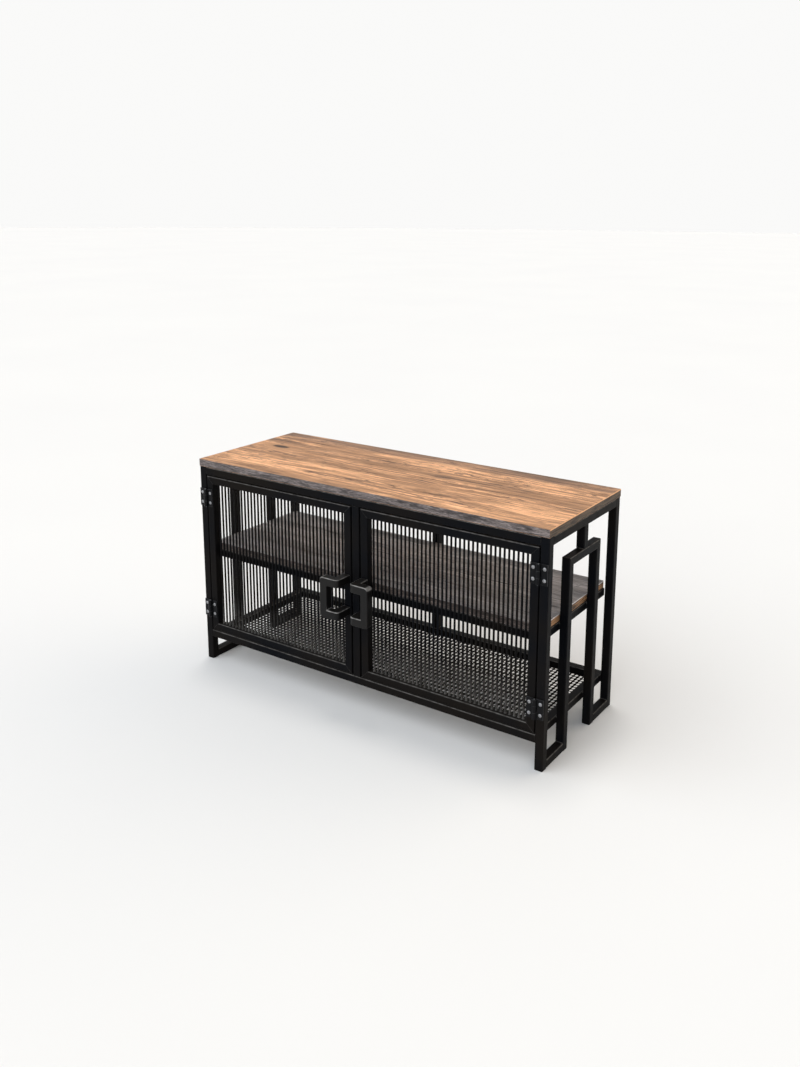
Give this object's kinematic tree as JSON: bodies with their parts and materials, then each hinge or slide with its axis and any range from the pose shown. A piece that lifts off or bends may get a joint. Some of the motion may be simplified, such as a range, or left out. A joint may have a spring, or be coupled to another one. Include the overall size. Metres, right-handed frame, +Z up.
{
  "type": "tv stand with doors",
  "caption": "Low open-backed cabinet with a black square-tube frame, a wood top and shelf, a mesh floor, hinged doors of upright rods and bracket-shaped pull handles.",
  "frame": {"origin": "under the middle of the whole object, handles included, on the floor", "axes": "+X along the width, +Y from the doors to the open back, +Z up"},
  "size_m": [1, 0.4072, 0.545],
  "materials": {
    "powder_black": "satin black powder coat on welded steel tube and rod",
    "handle_black": "satin black powder coat",
    "hinge_black": "black painted steel hinge leaf",
    "mesh_black": "black painted expanded metal sheet",
    "pin_steel": "bare steel hinge pin",
    "oak_board": "rustic oak decor, dull",
    "catch_plastic": "black moulded catch body"
  },
  "bodies": {
    "frame": {"base_mesh": "mesh_black", "base_rail_back": "powder_black", "base_rail_front": "powder_black", "base_rail_left": "powder_black", "base_rail_right": "powder_black", "centre_post_back": "powder_black", "centre_post_front": "powder_black", "end_crossbar_left": "powder_black", "end_crossbar_right": "powder_black", "end_hanger_left": "powder_black", "end_hanger_right": "powder_black", "end_upright_back_left": "powder_black", "end_upright_back_right": "powder_black", "end_upright_front_left": "powder_black", "end_upright_front_right": "powder_black", "foot_rail_back_left": "powder_black", "foot_rail_back_right": "powder_black", "foot_rail_front_left": "powder_black", "foot_rail_front_right": "powder_black", "hinge_lower_left_frame_leaf": "hinge_black", "hinge_lower_left_pin": "pin_steel", "hinge_lower_right_frame_leaf": "hinge_black", "hinge_lower_right_pin": "pin_steel", "hinge_upper_left_frame_leaf": "hinge_black", "hinge_upper_left_pin": "pin_steel", "hinge_upper_right_frame_leaf": "hinge_black", "hinge_upper_right_pin": "pin_steel", "magnetic_catch": "catch_plastic", "post_back_left": "powder_black", "post_back_right": "powder_black", "post_front_left": "powder_black", "post_front_right": "powder_black", "shelf_panel": "oak_board", "shelf_rail_back": "powder_black", "shelf_rail_front": "powder_black", "shelf_rail_left": "powder_black", "shelf_rail_right": "powder_black", "top_panel": "oak_board", "top_rail_back": "powder_black", "top_rail_front": "powder_black", "top_rail_left": "powder_black", "top_rail_right": "powder_black"},
    "left_door": {"hinge_lower_left_door_leaf": "hinge_black", "hinge_upper_left_door_leaf": "hinge_black", "left_door_grille": "powder_black", "left_door_handle": "handle_black", "left_door_rail_bottom": "powder_black", "left_door_rail_top": "powder_black", "left_door_stile_handle": "powder_black", "left_door_stile_hinge": "powder_black"},
    "right_door": {"hinge_lower_right_door_leaf": "hinge_black", "hinge_upper_right_door_leaf": "hinge_black", "right_door_grille": "powder_black", "right_door_handle": "handle_black", "right_door_rail_bottom": "powder_black", "right_door_rail_top": "powder_black", "right_door_stile_handle": "powder_black", "right_door_stile_hinge": "powder_black"}
  },
  "joints": [
    {"name": "left_door_hinge", "type": "hinge", "parent": "frame", "child": "left_door", "pos_m": [-0.4775, -0.16045, 0.295], "axis": [0, 0, 1], "range_deg": [-170, 0]},
    {"name": "right_door_hinge", "type": "hinge", "parent": "frame", "child": "right_door", "pos_m": [0.4775, -0.16045, 0.295], "axis": [0, 0, 1], "range_deg": [0, 170]}
  ]
}
